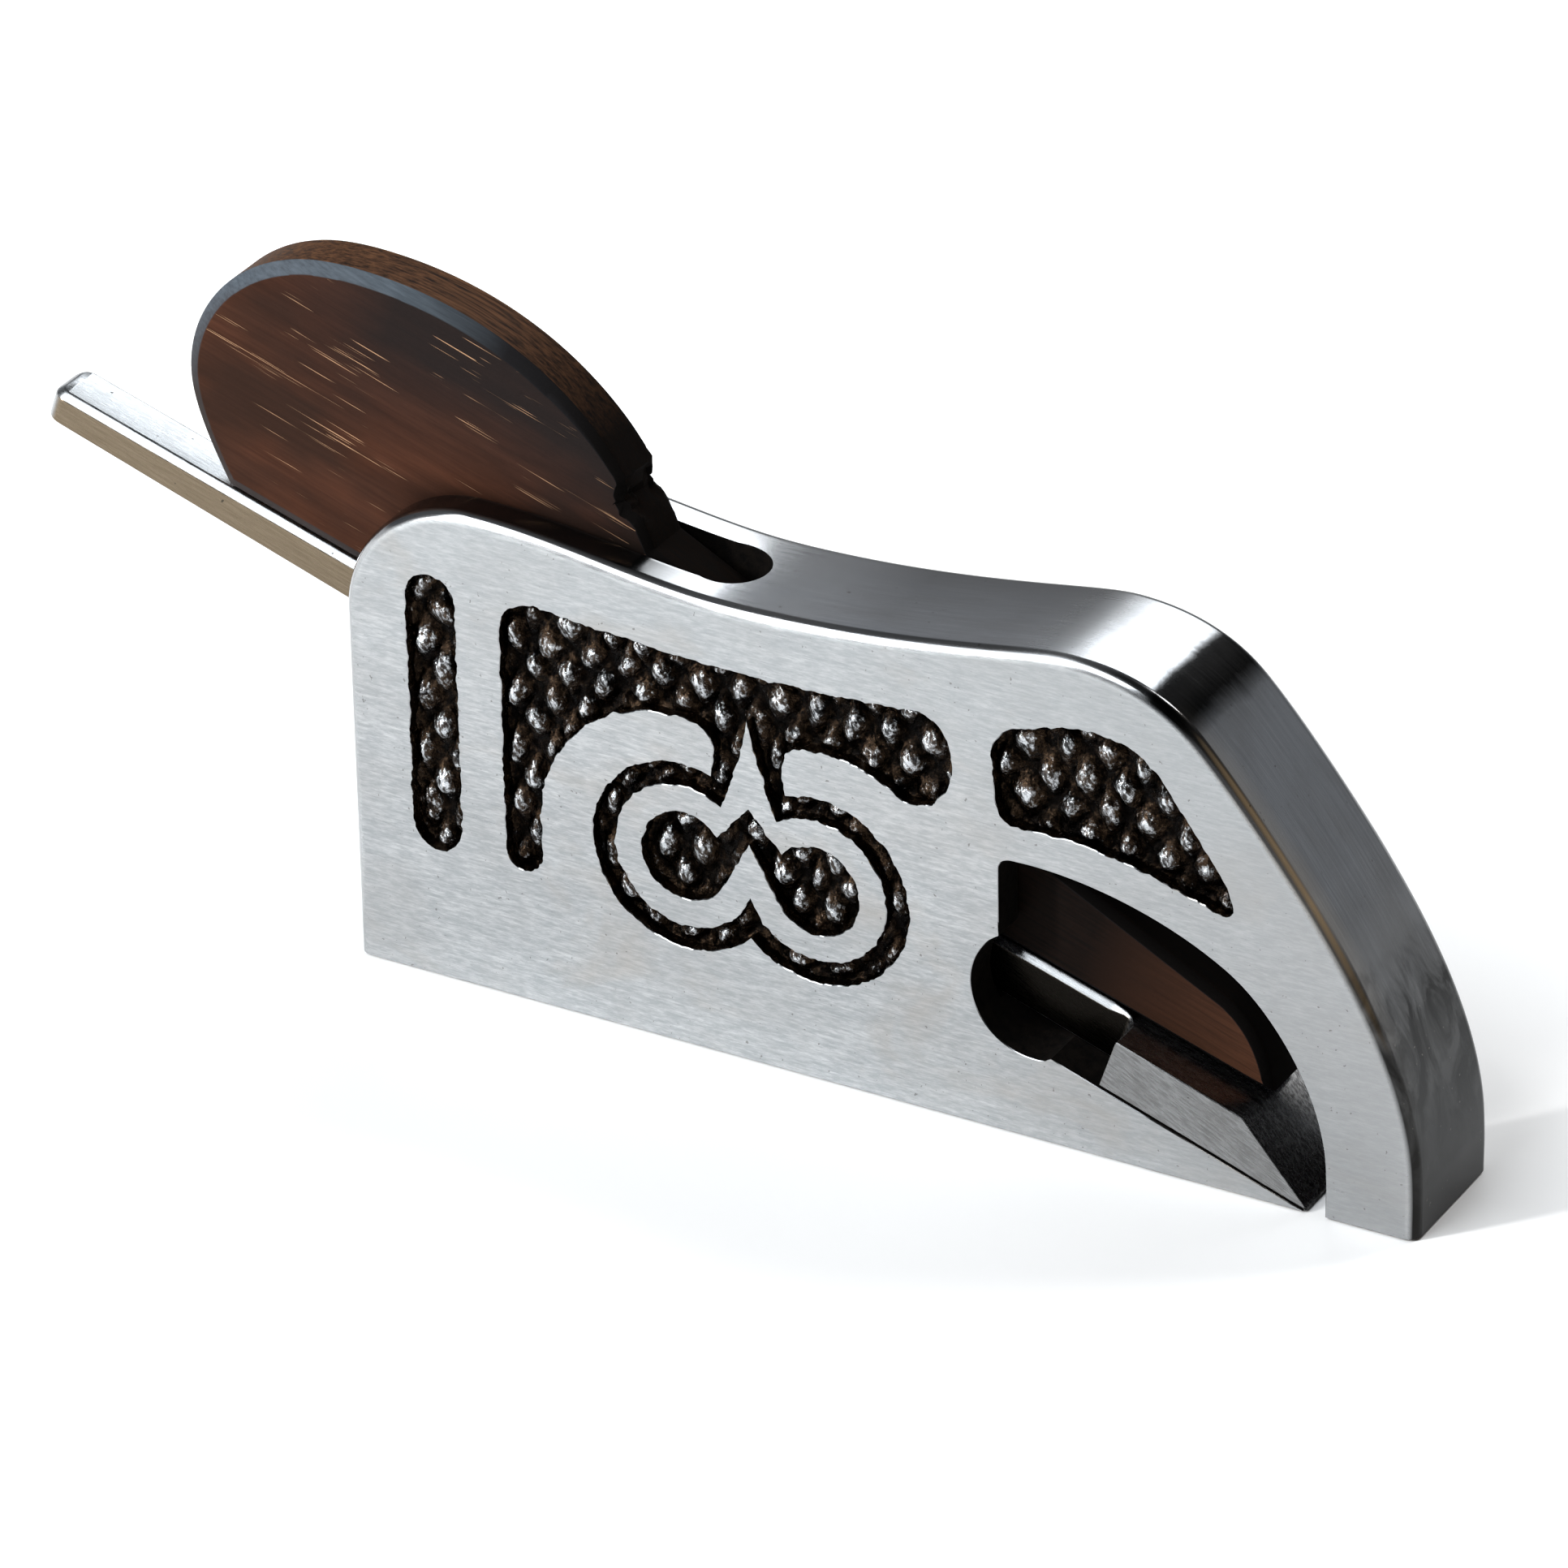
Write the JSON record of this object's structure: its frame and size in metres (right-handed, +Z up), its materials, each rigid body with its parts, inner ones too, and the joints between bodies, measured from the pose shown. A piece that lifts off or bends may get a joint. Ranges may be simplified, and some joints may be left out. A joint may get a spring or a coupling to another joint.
{
  "type": "hand plane",
  "caption": "Small shoulder plane: one-piece steel body with sunk scroll ornament, T-shaped tapered blade and rosewood wedge.",
  "frame": {"origin": "middle of the body's length, on the sole and on the centre plane", "axes": "+X along the sole towards the toe, +Y across the plane, +Z up from the sole"},
  "size_m": [0.1253, 0.0126, 0.0595],
  "materials": {
    "ground_steel": "ground and fine-brushed steel with softly polished edges, black enamel in the sunk ornament",
    "blade_steel": "hardened tool steel, ground grey on the head's sides and polished bright on top",
    "rosewood": "dark oiled rosewood with fine pale pores along the grain",
    "black_enamel": "thick glossy black enamel over a knobbed cast ground"
  },
  "bodies": {
    "stock": {"body": "ground_steel"},
    "blade": {"blade": "blade_steel"},
    "wedge": {"wedge": "rosewood"}
  },
  "joints": [
    {"name": "blade_slide", "type": "slide", "parent": "stock", "child": "blade", "axis": [0.9461, 0, -0.3239], "range_m": [-0.009, 0.001]},
    {"name": "wedge_slide", "type": "slide", "parent": "stock", "child": "wedge", "axis": [-0.9513, 0, 0.3083], "range_m": [0, 0.1]}
  ]
}
